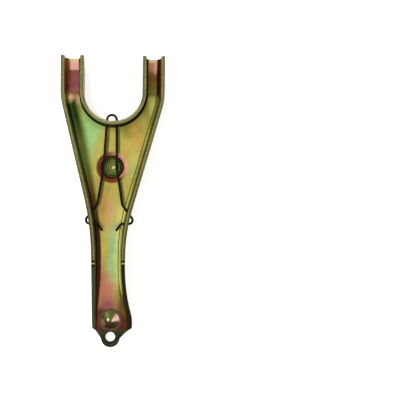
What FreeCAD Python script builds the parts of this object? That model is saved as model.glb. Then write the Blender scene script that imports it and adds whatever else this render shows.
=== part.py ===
import FreeCAD, Part
import math
import os

# Clutch release fork: one stamped steel channel with a bent wire clip.
# Frame: the origin is the centre of the pivot ball in its seat, +Y runs along the lever to the tines,
# +Z points out of the channel's open side and +X to the right of somebody who looks into the channel.
# Every length is in millimetres and every angle in degrees.

# ---- sheet ----
sheet = 3.0                 # thickness of the steel
bend_inside = 3.0           # inside radius where the web turns up into a flange

# ---- plan outline, measured from the pivot axis to the outer faces ----
tip_y = 91.9                # ends of the tines
tip_hollow = 1.0            # how far each tine's end is hollowed between its corners
gap_width = 48.4            # between the tines, for the release bearing's sleeve
gap_x = 0.85                # middle of that gap
gap_floor_y = 38.5          # bottom of the round gap
tine_width_left = 18.6
tine_width_right = 17.9
shoulder_left_y = 57.0      # where the tines turn into the tapered body
shoulder_right_y = 55.1
shoulder_radius = 50.0
neck_left_x = -16.3         # narrowest place, to the left and right of the pivot axis
neck_right_x = 11.75
neck_left_corner_y = -49.1  # where the tapered side would meet the straight one, before rounding
neck_right_corner_y = -53.5
neck_left_radius = 230.0
neck_right_radius = 150.0
flare_start_y = -103.3      # the right side swells out again beside the push-rod cup
flare_end_y = -130.2
flare_right_x = 18.3
flare_inner_radius = 170.0
flare_outer_radius = 30.0
flange_end_y = -139.4       # the side flanges stop here and the tail slants in to its lug

# ---- side profile of the web's closed face, height above the flat of that face ----
step_start_y = 59.0         # each tine steps towards the closed side into its pad
pad_start_y = 63.4
pad_end_y = 79.6
pad_depth = 3.0
pad_rise_angle = 1.5        # the pad falls back a little towards the tip
tip_curl_angle = 22.0       # and the tip curls back to the open side
step_radius = 4.0
pad_edge_radius = 7.0
tip_bend_radius = 9.0
tongue_angle = 9.0          # the tail's tongue bends to the open side
tongue_bend_radius = 9.0

# ---- height of the flanges above the flat closed face ----
tip_height = 16.6
body_height = 20.2
full_height_y = -25.0       # from here to the nicks the flanges have their full height
nick_y = -79.2              # a small nick in both edges, where the tail's taper starts
nick_radius = 1.7
nick_depth = 2.2
tail_height = 4.6           # height of the flanges where they end
crest_radius = 60.0

# ---- pivot socket, pressed towards the closed side ----
ball_radius = 11.0
socket_lip_radius = 5.5
socket_mouth_radius = 13.0
bulge_radius = 12.5         # sharp crease of the bulge on the closed face
bulge_slope = 31.0
bulge_tip_radius = 9.0
centre_mark_radius = 1.0
centre_mark_depth = 0.7

# ---- push-rod cup, pressed towards the open side ----
cup_x = -0.8
cup_y = -132.6
cup_radius = 7.4
cup_depth = 4.6
dome_foot_radius = 8.0      # where the dome on the open side would meet the flat web
dome_slope = 33.0
dome_tip_radius = 4.5
cup_rim_radius = 4.0
cup_blend_radius = 1.2

# ---- lug with its hole, at the tail ----
lug_x = -0.5
lug_y = -147.7
lug_radius = 8.1
lug_hole_diameter = 8.4
lug_meeting_angle = 6.0     # how far below the lug's widest place the slanted edges meet it
lug_corner_radius = 2.0
heel_width = 2.6            # sheared end of each side flange, before the slanted edge starts
heel_drop = 1.3

# ---- retaining clip ----
wire_diameter = 2.1
wire_height = 10.2          # centre of the wire above the flat closed face
top_loop_radius = 4.0
top_loop_x = -0.2
top_loop_reach = 5.4        # from the gap's floor to the middle of the wire at the loop's apex
ball_spread_left = 6.9      # the legs pass the pivot ball this far from its axis
ball_spread_right = 4.2
ball_pass_y = 0.0
knee_left_x = -12.0
knee_right_x = 9.0
knee_y = -31.5
leg_bend_radius = 20.0
knee_radius = 4.0
side_loop_y = -44.3         # middle of the loops that stand out of the side flanges
side_loop_radius = 3.1
side_loop_reach = 2.9       # from a flange's outer face to the middle of the wire
tail_bend_inset = 6.6       # from a flange's outer face to the last bend of the wire
tail_bend_radius = 2.5
tail_length_x = 4.4         # the wire's free ends point inwards and towards the tail
tail_length_y = 6.0

# ---- windows for the clip's loops ----
window_end_gap = 1.2        # between a window's end and the wire
window_height_gap = 0.8     # above the wire
clip_seat_gap = 0.05        # below the wire, where it rests on the window's edge

pierce = 4 * sheet          # length of the windows' punches, centred on the wall
far = 120.0                 # past every face of the part, for cutting bodies
tail_far_y = -180.0         # past the lug
mouth = 60.0                # above every flange, for cutting bodies
steepest_web = 60.0         # no part of the web rises more steeply than this
touching = 0.01             # points and heights closer together than this are the same
ring_samples = 5            # points at which an edge is compared with a circle


def vec(x, y, z=0.0):
    return FreeCAD.Vector(x, y, z)


def direction(start, end):
    """Unit vector from one point to the next."""
    return (end - start).normalize()


def rounded_edges(points, radii):
    """Straight runs through the points, with a tangent arc of its own radius at each inner point."""
    edges = []
    start = points[0]
    for i in range(1, len(points) - 1):
        corner = points[i]
        arriving = direction(points[i - 1], corner)
        leaving = direction(corner, points[i + 1])
        turn = arriving.getAngle(leaving)
        setback = radii[i] * math.tan(turn / 2)
        arc_start = corner - arriving * setback
        arc_end = corner + leaving * setback
        inward = (leaving - arriving).normalize()
        middle = corner + inward * (radii[i] / math.cos(turn / 2) - radii[i])
        if start.distanceToPoint(arc_start) > touching:
            edges.append(Part.LineSegment(start, arc_start).toShape())
        edges.append(Part.Arc(arc_start, middle, arc_end).toShape())
        start = arc_end
    edges.append(Part.LineSegment(start, points[-1]).toShape())
    return edges


def lines(points):
    """Straight edges from each point to the next."""
    return [Part.LineSegment(a, b).toShape() for a, b in zip(points, points[1:])]


def prism(wire, along):
    """Solid that a closed flat wire sweeps along a vector."""
    return Part.Face(wire).extrude(along)


def tine_left():
    """Outer faces of the left tine, from the outside to the gap."""
    inner = gap_x - gap_width / 2
    return inner - tine_width_left, inner


def tine_right():
    """Outer faces of the right tine, from the gap to the outside."""
    inner = gap_x + gap_width / 2
    return inner, inner + tine_width_right


def wall_edges(inset):
    """The flanges' faces in plan, drawn inwards by inset and open past the tips and the tail."""
    left_out, left_in = tine_left()
    right_in, right_out = tine_right()
    half_gap = gap_width / 2
    points = [
        vec(neck_left_x, tail_far_y),
        vec(neck_left_x, neck_left_corner_y),
        vec(left_out, shoulder_left_y),
        vec(left_out, far),
        vec(left_in, far),
        vec(left_in, gap_floor_y),
        vec(right_in, gap_floor_y),
        vec(right_in, far),
        vec(right_out, far),
        vec(right_out, shoulder_right_y),
        vec(neck_right_x, neck_right_corner_y),
        vec(neck_right_x, flare_start_y),
        vec(flare_right_x, flare_end_y),
        vec(flare_right_x, tail_far_y),
    ]
    # a positive radius grows with the inset, a negative one shrinks, and 0 is a sharp corner
    radii = [0, neck_left_radius, -shoulder_radius, 0, 0, half_gap, half_gap, 0, 0,
             -shoulder_radius, neck_right_radius, flare_inner_radius, -flare_outer_radius, 0]
    shifted = inset_points(points, inset)
    runs = []
    last = 0
    for i in range(1, len(points)):
        if radii[i] == 0:
            bends = [abs(r) + inset if r > 0 else abs(r) - inset for r in radii[last:i + 1]]
            runs += rounded_edges(shifted[last:i + 1], bends)
            last = i
    return runs, shifted


def inset_points(points, inset):
    """Corners of the closed polygon after each of its sides moves inwards; it runs clockwise."""
    moved = []
    count = len(points)
    for i in range(count):
        corner = points[i]
        arriving = direction(points[i - 1], corner)
        leaving = direction(corner, points[(i + 1) % count])
        normal_in = vec(arriving.y, -arriving.x)
        normal_out = vec(leaving.y, -leaving.x)
        bisector = normal_in + normal_out
        moved.append(corner + bisector * (inset / (1 + normal_in.dot(normal_out))))
    return moved


def wall_outline(inset):
    """Closed plan outline of the channel, as long as the cutting bodies need it."""
    runs, corners = wall_edges(inset)
    runs.append(Part.LineSegment(corners[-1], corners[0]).toShape())
    return Part.Wire(Part.__sortEdges__(runs))


def web_points():
    """Corners of the closed face in side view, from the tail to past the tips, and their radii."""
    pad_end_z = -pad_depth + (pad_end_y - pad_start_y) * math.tan(math.radians(pad_rise_angle))
    curl = math.tan(math.radians(tip_curl_angle))
    tongue = math.tan(math.radians(tongue_angle))
    points = [
        vec(0, tail_far_y, (flange_end_y - tail_far_y) * tongue),
        vec(0, flange_end_y, 0),
        vec(0, step_start_y, 0),
        vec(0, pad_start_y, -pad_depth),
        vec(0, pad_end_y, pad_end_z),
        vec(0, far, pad_end_z + (far - pad_end_y) * curl),
    ]
    radii = [0, tongue_bend_radius, -step_radius, pad_edge_radius, tip_bend_radius, 0]
    return points, radii


def web_edges(offset):
    """The web's face in side view: offset 0 is the closed face, and sheet is the open one."""
    points, radii = web_points()
    raised = []
    for i in range(len(points)):
        before = direction(points[max(i - 1, 0)], points[max(i, 1)])
        after = direction(points[min(i, len(points) - 2)], points[min(i + 1, len(points) - 1)])
        normal_before = vec(0, -before.z, before.y)
        normal_after = vec(0, -after.z, after.y)
        middle = normal_before + normal_after
        raised.append(points[i] + middle * (offset / (1 + normal_before.dot(normal_after))))
    bends = [abs(r) - offset if r > 0 else abs(r) + offset for r in radii]
    return rounded_edges(raised, bends), raised


def slab(bottom_edges, bottom_points, top_points, top_radii):
    """Body as wide as the cutting bodies, between two lines of the side view."""
    edges = list(bottom_edges)
    edges.append(Part.LineSegment(bottom_points[-1], top_points[0]).toShape())
    edges += rounded_edges(top_points, top_radii)
    edges.append(Part.LineSegment(top_points[-1], bottom_points[0]).toShape())
    wire = Part.Wire(Part.__sortEdges__(edges))
    wire.translate(vec(-far, 0))
    return prism(wire, vec(2 * far, 0))


def flange_top():
    """The flanges' edge in side view, from past the tips to past the tail."""
    slope = (body_height - tip_height) / (tip_y - full_height_y)
    tongue = math.tan(math.radians(tongue_angle))
    points = [
        vec(0, far, tip_height - (far - tip_y) * slope),
        vec(0, full_height_y, body_height),
        vec(0, nick_y, body_height),
        vec(0, flange_end_y, tail_height),
        vec(0, tail_far_y, tail_height + (flange_end_y - tail_far_y) * tongue),
    ]
    return points, [0, crest_radius, nick_radius, bend_inside, 0]


def bottom_rim(body):
    """Edges where the vertical walls of a body meet its underside."""
    rim = []
    for edge in body.Edges:
        middle = edge.valueAt((edge.FirstParameter + edge.LastParameter) / 2)
        if not tail_far_y + 1 < middle.y < far - 1:
            continue
        normals = []
        for face in body.ancestorsOfType(edge, Part.Face):
            u, v = face.Surface.parameter(middle)
            normals.append(face.normalAt(u, v))
        if len(normals) != 2:
            continue
        heights = sorted(normal.z for normal in normals)
        faces_down = heights[0] < -math.cos(math.radians(steepest_web))
        if faces_down and abs(heights[1]) < touching:
            rim.append(edge)
    return rim


def bent_body(offset, bend):
    """Solid with upright walls on the web's face at that offset, its lower edge rounded by the bend."""
    bottom_edges, bottom_points = web_edges(offset)
    roof = [vec(0, bottom_points[-1].y, mouth), vec(0, bottom_points[0].y, mouth)]
    plan = wall_outline(offset)
    plan.translate(vec(0, 0, -mouth))
    body = prism(plan, vec(0, 0, 3 * mouth)).common(slab(bottom_edges, bottom_points, roof, [0, 0]))
    return body.makeFillet(bend, bottom_rim(body))


def channel():
    """The bent sheet with its flanges all round, longer than the part at the tips and the tail."""
    sheet_body = bent_body(0, bend_inside + sheet).cut(bent_body(sheet, bend_inside))
    top_points, top_radii = flange_top()
    floor = [vec(0, top_points[-1].y, -mouth), vec(0, top_points[0].y, -mouth)]
    below = slab(rounded_edges(floor, [0, 0]), floor, top_points, top_radii)
    return sheet_body.common(below)


def trim_outline():
    """What the blanking die leaves: hollow tine ends, slanted tail edges and the round lug."""
    left_out, left_in = tine_left()
    right_in, right_out = tine_right()
    angle = math.radians(lug_meeting_angle)
    lug_side = lug_radius * math.cos(angle)
    lug_drop = lug_radius * math.sin(angle)
    meet_left = vec(lug_x - lug_side, lug_y - lug_drop)
    meet_right = vec(lug_x + lug_side, lug_y - lug_drop)
    corners = [
        vec(flare_right_x, flange_end_y),
        vec(far, flange_end_y),
        vec(far, tip_y),
        vec(right_out, tip_y),
    ]
    heel_right = corners[0] + vec(-heel_width, -heel_drop)
    edges = lines([meet_right, heel_right] + corners)
    for start, end in ((right_out, right_in), (left_in, left_out)):
        middle = vec((start + end) / 2, tip_y - tip_hollow)
        edges.append(Part.Arc(vec(start, tip_y), middle, vec(end, tip_y)).toShape())
    edges.append(Part.LineSegment(vec(right_in, tip_y), vec(left_in, tip_y)).toShape())
    corners = [
        vec(left_out, tip_y),
        vec(-far, tip_y),
        vec(-far, flange_end_y),
        vec(neck_left_x, flange_end_y),
        vec(neck_left_x + heel_width, flange_end_y - heel_drop),
        meet_left,
    ]
    edges += lines(corners)
    edges.append(Part.Arc(meet_left, vec(lug_x, lug_y - lug_radius), meet_right).toShape())
    return Part.Wire(Part.__sortEdges__(edges)), (meet_left, meet_right)


def trim_body():
    """Prism of the blanking outline, with rounded corners where the lug begins."""
    outline, meeting = trim_outline()
    outline.translate(vec(0, 0, -mouth))
    body = prism(outline, vec(0, 0, 2 * mouth))
    corners = []
    for edge in body.Edges:
        upright = edge.BoundBox.ZLength > mouth
        place = vec(edge.CenterOfMass.x, edge.CenterOfMass.y)
        if upright and any(place.distanceToPoint(point) < touching for point in meeting):
            corners.append(edge)
    return body.makeFillet(lug_corner_radius, corners)


def ball_height():
    """Height of the pivot ball's centre above the flat closed face, so that seat and lip are tangent."""
    lip_centre_z = sheet - socket_lip_radius
    reach = ball_radius + socket_lip_radius
    return lip_centre_z + math.sqrt(reach ** 2 - socket_mouth_radius ** 2)


def revolve(edges):
    """Solid that a closed profile right of the Z axis sweeps round it."""
    face = Part.Face(Part.Wire(Part.__sortEdges__(edges)))
    return face.revolve(vec(0, 0, 0), vec(0, 0, 1), 360)


def socket_seat():
    """Open side of the pivot socket: the ball seat, its rounded lip and a small centre mark."""
    centre = vec(0, 0, ball_height())
    lip_centre = vec(socket_mouth_radius, 0, sheet - socket_lip_radius)
    toward_lip = direction(centre, lip_centre)
    tangent = centre + toward_lip * ball_radius
    bottom = centre - vec(0, 0, ball_radius)
    seat_middle = centre + (toward_lip + vec(0, 0, -1)).normalize() * ball_radius
    lip_top = lip_centre + vec(0, 0, socket_lip_radius)
    lip_middle = lip_centre + (vec(0, 0, 1) - toward_lip).normalize() * socket_lip_radius
    edges = [Part.Arc(bottom, seat_middle, tangent).toShape()]
    edges.append(Part.Arc(tangent, lip_middle, lip_top).toShape())
    edges += lines([lip_top, lip_top + vec(0, 0, mouth), vec(0, 0, mouth), bottom])
    mark_tip = bottom - vec(0, 0, centre_mark_depth / 2)
    mark = Part.makeCone(0, centre_mark_radius, centre_mark_depth, mark_tip)
    return revolve(edges).fuse(mark)


def cone_with_tip(foot_radius, foot_z, slope, tip_radius, base_z):
    """Edges of half a cone with a round tip; the tip points up where base_z is below foot_z."""
    way = 1 if base_z < foot_z else -1
    angle = math.radians(slope)
    tip_centre = vec(0, 0, foot_z + way * (foot_radius * math.tan(angle) - tip_radius / math.cos(angle)))
    tip = tip_centre + vec(0, 0, way * tip_radius)
    halfway = tip_centre + vec(math.sin(angle / 2), 0, way * math.cos(angle / 2)) * tip_radius
    tangent = tip_centre + vec(math.sin(angle), 0, way * math.cos(angle)) * tip_radius
    foot = vec(foot_radius, 0, foot_z)
    edges = lines([tip, vec(0, 0, base_z), vec(foot_radius, 0, base_z), foot, tangent])
    edges.append(Part.Arc(tangent, halfway, tip).toShape())
    return edges


def socket_bulge():
    """Closed side of the pivot socket: a cone with a round tip."""
    return revolve(cone_with_tip(bulge_radius, 0, bulge_slope, bulge_tip_radius, sheet / 2))


def cup_dome():
    """Open side of the push-rod cup: a blunt cone that stands on the web."""
    dome = revolve(cone_with_tip(dome_foot_radius, sheet, dome_slope, dome_tip_radius, sheet / 2))
    dome.translate(vec(cup_x, cup_y))
    return dome


def cup_hollow():
    """Closed side of the push-rod cup: a round hollow with a rounded rim."""
    centre = vec(0, 0, cup_depth - cup_radius)
    reach = cup_radius + cup_rim_radius
    rim_centre = vec(math.sqrt(reach ** 2 - (cup_rim_radius - centre.z) ** 2), 0, cup_rim_radius)
    toward_rim = direction(centre, rim_centre)
    tangent = centre + toward_rim * cup_radius
    top = centre + vec(0, 0, cup_radius)
    wall_middle = centre + (toward_rim + vec(0, 0, 1)).normalize() * cup_radius
    rim_low = rim_centre - vec(0, 0, cup_rim_radius)
    rim_middle = rim_centre - (toward_rim + vec(0, 0, 1)).normalize() * cup_rim_radius
    edges = [Part.Arc(top, wall_middle, tangent).toShape()]
    edges.append(Part.Arc(tangent, rim_middle, rim_low).toShape())
    edges += lines([rim_low, rim_low - vec(0, 0, mouth), vec(0, 0, -mouth), top])
    hollow = revolve(edges)
    hollow.translate(vec(cup_x, cup_y))
    return hollow


def ring_edges(body, centre, radius, height):
    """Edges of a body that lie on one level circle."""
    found = []
    for edge in body.Edges:
        if edge.Degenerated:
            continue
        gaps = [math.hypot(math.hypot(p.x - centre.x, p.y - centre.y) - radius, p.z - height)
                for p in edge.discretize(ring_samples)]
        if max(gaps) < touching:
            found.append(edge)
    return found


def window(start, end, through, middle):
    """Slot with round ends from start to end, cut along the vector through, for a loop of the clip."""
    half = (wire_diameter + window_height_gap + clip_seat_gap) / 2
    low = wire_height - wire_diameter / 2 - clip_seat_gap
    along = direction(start, end)
    first = start + along * half
    last = end - along * half
    up = vec(0, 0, half)
    lift = vec(0, 0, low + half)
    edges = [
        Part.LineSegment(first + lift - up, last + lift - up).toShape(),
        Part.Arc(last + lift - up, end + lift, last + lift + up).toShape(),
        Part.LineSegment(last + lift + up, first + lift + up).toShape(),
        Part.Arc(first + lift + up, start + lift, first + lift - up).toShape(),
    ]
    cutter = prism(Part.Wire(edges), through)
    cutter.translate(middle)
    return cutter


def flange_x(side, y):
    """Outer face of the left (-1) or right (+1) side flange at a place along the lever."""
    runs, _ = wall_edges(0)
    probe = Part.makeLine(vec(side * wire_diameter, y), vec(side * far, y))
    return Part.Compound(runs).distToShape(probe)[1][0][0].x


def side_loop_centre(side):
    """Centre of the round of one of the clip's side loops."""
    apex_x = flange_x(side, side_loop_y) + side * side_loop_reach
    return vec(apex_x - side * side_loop_radius, side_loop_y)


def leg_points(side):
    """Half of the clip's route, from the top loop to the free end, with its bend radii."""
    ball_spread = ball_spread_left if side < 0 else ball_spread_right
    knee_x = knee_left_x if side < 0 else knee_right_x
    top_x = top_loop_x + side * top_loop_radius
    centre = side_loop_centre(side)
    knee = vec(knee_x, knee_y)
    # the run from the knee is tangent to the loop, whose other end comes straight back in
    to_centre = centre - knee
    swing = math.asin(side_loop_radius / to_centre.Length)
    heading = math.atan2(to_centre.y, to_centre.x) + side * swing
    bottom_y = centre.y - side_loop_radius
    reach = (bottom_y - knee.y) / math.sin(heading)
    loop_corner = knee + vec(math.cos(heading), math.sin(heading)) * reach
    last_bend = vec(flange_x(side, side_loop_y) - side * tail_bend_inset, bottom_y)
    points = [
        vec(top_x, gap_floor_y + top_loop_reach - top_loop_radius),
        vec(side * ball_spread, ball_pass_y),
        knee,
        loop_corner,
        last_bend,
        last_bend + vec(-side * tail_length_x, -tail_length_y),
    ]
    return points, [0, leg_bend_radius, knee_radius, side_loop_radius, tail_bend_radius, 0]


def clip_windows():
    """Cutters of the windows in the gap's flange and in both side flanges."""
    margin = wire_diameter / 2 + window_end_gap
    gap_half = top_loop_radius + margin
    before_wall = (pierce + sheet) / 2
    cutters = [window(vec(top_loop_x - gap_half, 0), vec(top_loop_x + gap_half, 0),
                      vec(0, pierce), vec(0, gap_floor_y - before_wall))]
    for side in (-1, 1):
        centre = side_loop_centre(side)
        face_x = flange_x(side, side_loop_y)
        knee, corner = leg_points(side)[0][2:4]
        heading = direction(knee, corner)
        crossing_y = knee.y + (face_x - side * sheet - knee.x) / heading.x * heading.y
        start = vec(0, centre.y - side_loop_radius - margin)
        end = vec(0, crossing_y + margin / abs(heading.x))
        cutters.append(window(start, end, vec(side * pierce, 0), vec(face_x - side * before_wall, 0)))
    return cutters


def lug_hole():
    """Cutter of the lug's hole, square to the bent tongue."""
    angle = math.radians(tongue_angle)
    normal = vec(0, math.sin(angle), math.cos(angle))
    centre = vec(lug_x, lug_y, (flange_end_y - lug_y) * math.tan(angle))
    return Part.makeCylinder(lug_hole_diameter / 2, 2 * mouth, centre - normal * mouth, normal)


def fork_pressing():
    """The whole stamped fork."""
    web_side = channel().common(trim_body())
    body = web_side.fuse([socket_bulge(), cup_dome()]).removeSplitter()
    foot = ring_edges(body, vec(cup_x, cup_y), dome_foot_radius, sheet)
    body = body.makeFillet(cup_blend_radius, foot)
    body = body.cut(socket_seat()).cut(cup_hollow())
    body = body.cut(lug_hole())
    nick_z = body_height - nick_depth + nick_radius
    nick = Part.makeCylinder(nick_radius, 2 * far, vec(-far, nick_y, nick_z), vec(1, 0, 0))
    body = body.cut(nick)
    for cutter in clip_windows():
        body = body.cut(cutter)
    return body


def retaining_clip():
    """One length of spring wire: a loop in the gap, two legs beside the ball and two side loops."""
    left_points, left_radii = leg_points(-1)
    right_points, right_radii = leg_points(1)
    apex = vec(top_loop_x, gap_floor_y + top_loop_reach)
    edges = rounded_edges(left_points, left_radii)
    edges.append(Part.Arc(left_points[0], apex, right_points[0]).toShape())
    edges += rounded_edges(right_points, right_radii)
    path = Part.Wire(Part.__sortEdges__(edges))
    path.translate(vec(0, 0, wire_height))
    start = left_points[-1] + vec(0, 0, wire_height)
    away = direction(left_points[-1], left_points[-2])
    section = Part.Wire(Part.makeCircle(wire_diameter / 2, start, away))
    wire = path.makePipeShell([section], True, False)
    ideal = path.Length * math.pi * wire_diameter ** 2 / 4
    print("clip: wire length %.1f mm, volume %.1f of %.1f mm3" % (path.Length, wire.Volume, ideal))
    return wire


def main():
    os.makedirs("parts", exist_ok=True)
    to_ball_centre = vec(0, 0, -ball_height())
    for name, make in (("fork_pressing", fork_pressing), ("retaining_clip", retaining_clip)):
        shape = make()
        shape.translate(to_ball_centre)
        box = shape.BoundBox
        print("%s: %d solid, valid %s, %.0f mm3, %.1f x %.1f x %.1f mm" % (
            name, len(shape.Solids), shape.isValid(), shape.Volume, box.XLength, box.YLength, box.ZLength))
        shape.exportStep("parts/%s.step" % name)


main()
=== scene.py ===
# %% [markdown]
# # A clutch fork in Blender
# A clutch fork is a lever pressed from one piece of sheet steel. Its two tines push the release
# bearing, its round socket rocks on a pivot ball, and a bent spring wire holds it on that ball.
# The solids come ready made from the CAD model, so this lesson is about their finish: yellow passivated
# zinc, whose thin film turns from olive through gold and pink to green, and black wire. Much of the
# zinc's colour is painted light: painted shade along the walls, and painted highlights and reflections on
# the bends, edges, dome and socket.

# %% Load the solids
import math

import bpy
from mathutils import Matrix, Vector


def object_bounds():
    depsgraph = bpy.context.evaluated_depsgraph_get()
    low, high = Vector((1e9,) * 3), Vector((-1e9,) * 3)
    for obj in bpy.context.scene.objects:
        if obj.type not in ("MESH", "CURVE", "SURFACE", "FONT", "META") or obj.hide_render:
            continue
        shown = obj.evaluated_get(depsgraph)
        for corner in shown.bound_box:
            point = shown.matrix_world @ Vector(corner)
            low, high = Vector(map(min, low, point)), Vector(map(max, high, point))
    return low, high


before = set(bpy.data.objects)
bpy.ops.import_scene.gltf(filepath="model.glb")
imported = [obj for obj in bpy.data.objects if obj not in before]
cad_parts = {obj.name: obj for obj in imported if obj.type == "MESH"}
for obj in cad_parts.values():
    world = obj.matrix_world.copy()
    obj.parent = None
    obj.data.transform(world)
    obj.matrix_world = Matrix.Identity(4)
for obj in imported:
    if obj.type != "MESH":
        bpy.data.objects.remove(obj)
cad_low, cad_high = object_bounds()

MM = 0.001
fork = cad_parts["fork_pressing"]
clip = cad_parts["retaining_clip"]
print("fork", [round(v / MM, 1) for v in (cad_high - cad_low)], "mm over all")

# %% [markdown]
# ## Helpers for node trees
# Materials are graphs of small nodes. Writing each node and link out takes many lines, so helpers
# keep the cells short. One turns the everyday 0-255 colour of a paint chart into the linear values
# that a renderer adds up, the next add and link the everyday nodes, and the last two make a shader
# group and place it in a material.


# %% Colour helper
def linear(red, green, blue):
    """Linear RGBA of a colour given as on a paint chart, 0 to 255."""
    values = []
    for part in (red, green, blue):
        part /= 255
        values.append(part / 12.92 if part <= 0.04045 else ((part + 0.055) / 1.055) ** 2.4)
    return (*values, 1.0)


print("middle grey is", round(linear(128, 128, 128)[0], 3), "in linear light")


# %% Node helpers
def fill(tree, sockets, inputs):
    """Sets each named input to a value, or links it to a socket."""
    for name, value in inputs.items():
        if isinstance(value, bpy.types.NodeSocket):
            tree.links.new(value, sockets[name])
        else:
            sockets[name].default_value = value


def add(tree, kind, inputs=None, **settings):
    """One node with its settings and inputs."""
    node = tree.nodes.new(kind)
    for name, value in settings.items():
        setattr(node, name, value)
    fill(tree, node.inputs, inputs or {})
    return node


def calc(tree, operation, *values):
    """Result of a Math node."""
    return add(tree, "ShaderNodeMath", dict(enumerate(values)), operation=operation).outputs[0]


def vector(tree, operation, *values, output=0, **inputs):
    """Result of a Vector Math node."""
    filled = {**dict(enumerate(values)), **inputs}
    return add(tree, "ShaderNodeVectorMath", filled, operation=operation).outputs[output]


def ramp(tree, value, start, end, low=0.0, high=1.0):
    """Smooth step from low to high while the value goes from start to end."""
    node = add(tree, "ShaderNodeMapRange", {0: value, 1: start, 2: end, 3: low, 4: high},
               interpolation_type="SMOOTHSTEP")
    return node.outputs[0]


def mix(tree, mask, below, above):
    """Colour above laid over colour below where the mask is 1."""
    return add(tree, "ShaderNodeMix", {0: mask, 6: below, 7: above}, data_type="RGBA").outputs[2]


def both(tree, *masks):
    """Mask that is 1 only where every mask is."""
    result = masks[0]
    for mask in masks[1:]:
        result = calc(tree, "MULTIPLY", result, mask)
    return result


print("node helpers ready")


# %% Group helpers
def group(name, inputs, outputs):
    """An empty shader group with named sockets, and its input and output nodes."""
    tree = bpy.data.node_groups.new(name, "ShaderNodeTree")
    for label, kind, value in inputs:
        socket = tree.interface.new_socket(label, in_out="INPUT", socket_type="NodeSocket" + kind)
        if value is not None:
            socket.default_value = value
    for label, kind in outputs:
        tree.interface.new_socket(label, in_out="OUTPUT", socket_type="NodeSocket" + kind)
    return tree, tree.nodes.new("NodeGroupInput").outputs, tree.nodes.new("NodeGroupOutput").inputs


def use(tree, group_tree, inputs):
    """A group placed in a tree."""
    node = add(tree, "ShaderNodeGroup", node_tree=group_tree)
    fill(tree, node.inputs, inputs)
    return node.outputs


print("group helpers ready")

# %% [markdown]
# ## A patch of film
# Passivating turns the zinc's surface into a film a few hundred nanometres thick. Where the bath drained
# slowly the film is thicker, so the colour drifts in soft patches. An image could hold the patches, but
# an ellipse with a soft rim gives the same drift at any size and without a file. The group below makes
# one such patch, and every patch on the fork uses it. Some patches hold painted light instead of film:
# painted highlights, painted shade and the painted shadow beside the clip.

# %% Patch group
patch_tree, given, result = group(
    "film_and_painted_light_patch",
    [("Place", "Vector", None), ("Centre", "Vector", (0, 0, 0)), ("Half size", "Vector", (1, 1, 1)),
     ("Turn", "Float", 0.0), ("Rim", "Float", 0.5)],
    [("Mask", "Float")])
away = vector(patch_tree, "SUBTRACT", given["Place"], given["Centre"])
turned = add(patch_tree, "ShaderNodeVectorRotate", {"Vector": away, "Angle": given["Turn"]},
             rotation_type="Z_AXIS").outputs[0]
scaled = vector(patch_tree, "DIVIDE", turned, given["Half size"])
reach = vector(patch_tree, "LENGTH", scaled, output="Value")
inner = calc(patch_tree, "SUBTRACT", 1.0, given["Rim"])
outer = calc(patch_tree, "ADD", 1.0, given["Rim"])
patch_tree.links.new(ramp(patch_tree, reach, inner, outer, 1.0, 0.0), result["Mask"])
print("film_and_painted_light_patch has", len(patch_tree.nodes), "nodes")

# %% [markdown]
# ## A band of film
# Along a bend the film follows the wall, as a stripe of even width, and so do the painted shade and the
# painted highlights of the bends. Given the distance to a wall, a band is a step up and a step down of
# that distance, cut off the same way along the lever.

# %% Band group
band_tree, given, result = group(
    "film_and_painted_light_band",
    [("Across", "Float", 0.0), ("From", "Float", 0.0), ("To", "Float", 1.0),
     ("Soft across", "Float", 0.1), ("Along", "Float", 0.0), ("Start", "Float", 0.0),
     ("End", "Float", 1.0), ("Soft along", "Float", 1.0)],
    [("Mask", "Float")])
BAND_EDGES = (
    # value, place of the edge, softness, mask before the edge, mask after it
    ("Across", "From", "Soft across", 0.0, 1.0),
    ("Across", "To", "Soft across", 1.0, 0.0),
    ("Along", "Start", "Soft along", 0.0, 1.0),
    ("Along", "End", "Soft along", 1.0, 0.0),
)
sides = []
for value, edge, soft, mask_before, mask_after in BAND_EDGES:
    before = calc(band_tree, "SUBTRACT", given[edge], given[soft])
    after = calc(band_tree, "ADD", given[edge], given[soft])
    sides.append(ramp(band_tree, given[value], before, after, mask_before, mask_after))
band_tree.links.new(both(band_tree, *sides), result["Mask"])
print("film_and_painted_light_band has", len(band_tree.nodes), "nodes")

# %% [markdown]
# ## Distance to a wall
# The flanges follow straight runs joined by large arcs. Seen from the steel, the outside of such a
# bend is a wedge with a rounded nose: two runs leave the arc's centre, and the wall stands one
# radius away from them. Taking the part along each run off the way to the centre leaves the way to
# the wedge, and its length less the radius is the distance to the wall.

# %% Wall distance group
wall_tree, given, result = group(
    "wall_distance",
    [("Place", "Vector", None), ("Centre", "Vector", (0, 0, 0)), ("First run", "Vector", (0, 0, 0)),
     ("Second run", "Vector", (0, 0, 0)), ("Radius", "Float", 1.0)],
    [("Distance", "Float")])
FLATTEN = (1, 1, 0)
from_centre = vector(wall_tree, "SUBTRACT", given["Place"], given["Centre"])
way = vector(wall_tree, "MULTIPLY", from_centre, FLATTEN)
rest = way
for run in ("First run", "Second run"):
    along_run = vector(wall_tree, "DOT_PRODUCT", way, given[run], output="Value")
    along_run = calc(wall_tree, "MAXIMUM", along_run, 0.0)
    run_part = vector(wall_tree, "SCALE", given[run], Scale=along_run)
    rest = vector(wall_tree, "SUBTRACT", rest, run_part)
length = vector(wall_tree, "LENGTH", rest, output="Value")
wall_tree.links.new(calc(wall_tree, "SUBTRACT", length, given["Radius"]), result["Distance"])
print("wall_distance has", len(wall_tree.nodes), "nodes")

# %% [markdown]
# ## Handling marks
# Bare metal that was rolled, pressed and tumbled is never even. A fine grain, a slower cloud and a
# few long streaks change its colour and its gloss together. Both the zinc and the wire use this
# group, each with its own scale.

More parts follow.
